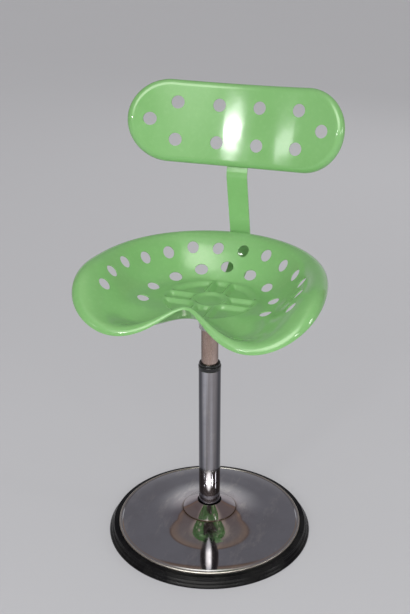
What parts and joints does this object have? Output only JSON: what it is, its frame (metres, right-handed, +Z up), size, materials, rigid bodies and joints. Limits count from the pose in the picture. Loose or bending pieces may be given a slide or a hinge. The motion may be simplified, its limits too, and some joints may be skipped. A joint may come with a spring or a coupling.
{
  "type": "swivel stool",
  "caption": "Swivel stool with a pressed, perforated tractor-style metal seat and curved backrest on a height-adjustable chrome column and round weighted base.",
  "frame": {"origin": "on the floor, on the axis of the column", "axes": "+Z up along the column; the sitter faces -Y, so the backrest is towards +Y; +X is towards the sitter's left"},
  "size_m": [0.4502, 0.4105, 0.8534],
  "materials": {
    "rubber": "smooth black rubber",
    "cast": "black painted casting",
    "chrome": "polished chrome plate",
    "worn_chrome": "chrome plate with a slight haze",
    "steel": "turned steel",
    "zinc": "zinc plate",
    "bronze": "plain bearing bronze",
    "nylon": "natural nylon",
    "collar": "glossy black plastic",
    "plate": "grey-brown primer",
    "seat_green": "glossy light green enamel",
    "bar_green": "glossy light green enamel"
  },
  "bodies": {
    "base": {"floor_ring": "rubber", "foot_seal": "rubber", "base_weight": "cast", "base_cover": "chrome", "foot_cone": "chrome", "outer_tube": "chrome", "tube_plug": "steel", "spindle": "steel", "foot_washer": "zinc", "foot_nut": "zinc", "stop_washer": "zinc", "stop_screw": "zinc", "guide_collar": "collar"},
    "riser": {"rising_tube": "worn_chrome", "travel_nut": "bronze", "slide_ring": "nylon", "head_pin": "steel", "lower_race": "steel", "bearing_balls": "steel", "pivot_washer": "zinc", "pivot_clip": "zinc"},
    "seat": {"upper_race": "steel", "swivel_hub": "steel", "hub_bush": "bronze", "seat_plate": "plate", "seat_pan": "seat_green", "backrest": "seat_green", "back_bar": "bar_green", "seat_studs": "zinc", "seat_washers": "zinc", "seat_nuts": "zinc", "bar_bolts": "zinc", "bar_washers": "zinc", "bar_nuts": "zinc", "back_studs": "zinc", "back_spacers": "zinc", "back_washers": "zinc", "back_nuts": "zinc"}
  },
  "joints": [
    {"name": "seat_height", "type": "slide", "parent": "base", "child": "riser", "axis": [0, 0, 1], "range_m": [-0.065, 0.07]},
    {"name": "seat_swivel", "type": "hinge", "parent": "riser", "child": "seat", "pos_m": [0, 0, 0.45], "axis": [0, 0, 1], "continuous": true}
  ]
}
